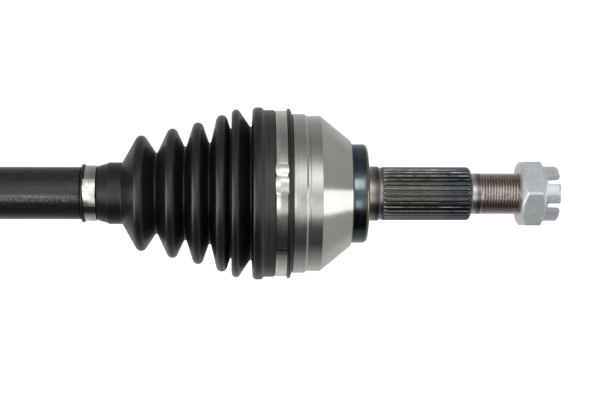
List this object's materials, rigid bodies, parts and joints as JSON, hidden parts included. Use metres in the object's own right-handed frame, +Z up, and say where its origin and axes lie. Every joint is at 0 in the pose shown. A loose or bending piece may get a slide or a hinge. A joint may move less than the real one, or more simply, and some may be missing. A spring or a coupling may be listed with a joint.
{
  "type": "cv axle",
  "caption": "Drive axle with a fixed ball joint, rubber boots and a plunging tripod joint; carries torque from a gearbox to a wheel hub at changing angles.",
  "frame": {"origin": "on the axle's axis, in the plane of the hub shoulder face", "axes": "+X along the axle towards the hub nut, +Z up, +Y away from the viewer"},
  "size_m": [0.6276, 0.0922, 0.0922],
  "materials": {
    "turned_steel": "fine turned, oiled",
    "forged_steel": "turned forging, oiled",
    "ground_steel": "ground, greased",
    "phosphated_steel": "phosphated",
    "polished_steel": "polished",
    "spring_steel": "oiled spring steel",
    "clamp_band": "rolled stainless strip",
    "zinc_plate": "bright zinc plate",
    "boot_rubber": "satin black",
    "bar_paint": "satin black paint"
  },
  "bodies": {
    "half_shaft": {"half_shaft": "bar_paint", "inner_race": "ground_steel", "inner_race_circlip": "spring_steel", "outer_boot_clamp_small": "clamp_band", "inner_boot_clamp_small": "clamp_band", "tripod_spider": "ground_steel", "spider_circlip": "spring_steel", "roller_retaining_clip_1": "spring_steel", "roller_retaining_clip_2": "spring_steel", "roller_retaining_clip_3": "spring_steel"},
    "outer_race": {"outer_race": "turned_steel", "hub_nut": "zinc_plate", "outer_boot": "boot_rubber", "outer_boot_clamp_large": "clamp_band"},
    "ball_cage": {"ball_cage": "phosphated_steel"},
    "inner_boot": {"inner_boot": "boot_rubber"},
    "tulip_housing": {"tulip_housing": "forged_steel", "inner_boot_clamp_large": "clamp_band", "stub_circlip": "spring_steel"},
    "ball_1": {"ball_1": "polished_steel"},
    "ball_2": {"ball_2": "polished_steel"},
    "ball_3": {"ball_3": "polished_steel"},
    "ball_4": {"ball_4": "polished_steel"},
    "ball_5": {"ball_5": "polished_steel"},
    "ball_6": {"ball_6": "polished_steel"},
    "tripod_roller_1": {"tripod_roller_1": "ground_steel"},
    "needle_bearing_1": {"needle_bearing_1": "polished_steel"},
    "tripod_roller_2": {"tripod_roller_2": "ground_steel"},
    "needle_bearing_2": {"needle_bearing_2": "polished_steel"},
    "tripod_roller_3": {"tripod_roller_3": "ground_steel"},
    "needle_bearing_3": {"needle_bearing_3": "polished_steel"}
  },
  "joints": [
    {"name": "outer_bend", "type": "hinge", "parent": "half_shaft", "child": "outer_race", "pos_m": [-0.036, 0, 0], "axis": [0, 1, 0], "range_deg": [-40, 40], "deforming": ["outer_boot"]},
    {"name": "cage_bend", "type": "hinge", "parent": "outer_race", "child": "ball_cage", "pos_m": [-0.036, 0, 0], "axis": [0, 1, 0], "range_deg": [-20.5, 20.5]},
    {"name": "ball_1_track", "type": "hinge", "parent": "outer_race", "child": "ball_1", "pos_m": [-0.036, 0, 0], "axis": [0, 0.5, -0.866], "range_deg": [-10.5, 10.5]},
    {"name": "ball_2_track", "type": "hinge", "parent": "outer_race", "child": "ball_2", "pos_m": [-0.036, 0, 0], "axis": [0, 1, 0], "range_deg": [-20.5, 20.5]},
    {"name": "ball_3_track", "type": "hinge", "parent": "outer_race", "child": "ball_3", "pos_m": [-0.036, 0, 0], "axis": [0, 0.5, 0.866], "range_deg": [-10.5, 10.5]},
    {"name": "ball_4_track", "type": "hinge", "parent": "outer_race", "child": "ball_4", "pos_m": [-0.036, 0, 0], "axis": [0, -0.5, 0.866], "range_deg": [-10.5, 10.5]},
    {"name": "ball_5_track", "type": "hinge", "parent": "outer_race", "child": "ball_5", "pos_m": [-0.036, 0, 0], "axis": [0, -1, 0], "range_deg": [-20.5, 20.5]},
    {"name": "ball_6_track", "type": "hinge", "parent": "outer_race", "child": "ball_6", "pos_m": [-0.036, 0, 0], "axis": [0, -0.5, -0.866], "range_deg": [-10.5, 10.5]},
    {"name": "inner_tilt", "type": "hinge", "parent": "half_shaft", "child": "inner_boot", "pos_m": [-0.4, 0, 0], "axis": [0, 1, 0], "range_deg": [-18, 18]},
    {"name": "inner_plunge", "type": "slide", "parent": "inner_boot", "child": "tulip_housing", "axis": [1, 0, 0], "range_m": [-0.018, 0.018], "deforming": ["inner_boot"]},
    {"name": "roller_1_spin", "type": "hinge", "parent": "half_shaft", "child": "tripod_roller_1", "pos_m": [-0.4, 0, 0], "axis": [0, 0, 1], "range_deg": [-70.8, 70.8]},
    {"name": "needles_1_spin", "type": "hinge", "parent": "half_shaft", "child": "needle_bearing_1", "pos_m": [-0.4, 0, 0], "axis": [0, 0, 1], "range_deg": [-40.4, 40.4]},
    {"name": "roller_2_spin", "type": "hinge", "parent": "half_shaft", "child": "tripod_roller_2", "pos_m": [-0.4, 0, 0], "axis": [0, -0.866, -0.5], "range_deg": [-70.8, 70.8]},
    {"name": "needles_2_spin", "type": "hinge", "parent": "half_shaft", "child": "needle_bearing_2", "pos_m": [-0.4, 0, 0], "axis": [0, -0.866, -0.5], "range_deg": [-40.4, 40.4]},
    {"name": "roller_3_spin", "type": "hinge", "parent": "half_shaft", "child": "tripod_roller_3", "pos_m": [-0.4, 0, 0], "axis": [0, 0.866, -0.5], "range_deg": [-70.8, 70.8]},
    {"name": "needles_3_spin", "type": "hinge", "parent": "half_shaft", "child": "needle_bearing_3", "pos_m": [-0.4, 0, 0], "axis": [0, 0.866, -0.5], "range_deg": [-40.4, 40.4]}
  ],
  "couplings": [
    {"joint": "cage_bend", "follows": "outer_bend", "ratio": -0.5},
    {"joint": "ball_1_track", "follows": "outer_bend", "ratio": -0.25},
    {"joint": "ball_2_track", "follows": "outer_bend", "ratio": -0.5},
    {"joint": "ball_3_track", "follows": "outer_bend", "ratio": -0.25},
    {"joint": "ball_4_track", "follows": "outer_bend", "ratio": 0.25},
    {"joint": "ball_5_track", "follows": "outer_bend", "ratio": 0.5},
    {"joint": "ball_6_track", "follows": "outer_bend", "ratio": 0.25},
    {"joint": "roller_1_spin", "follows": "inner_plunge", "rad_per_m": 66.667},
    {"joint": "needles_1_spin", "follows": "inner_plunge", "rad_per_m": 37.201},
    {"joint": "roller_2_spin", "follows": "inner_plunge", "rad_per_m": 66.667},
    {"joint": "needles_2_spin", "follows": "inner_plunge", "rad_per_m": 37.201},
    {"joint": "roller_3_spin", "follows": "inner_plunge", "rad_per_m": 66.667},
    {"joint": "needles_3_spin", "follows": "inner_plunge", "rad_per_m": 37.201}
  ]
}
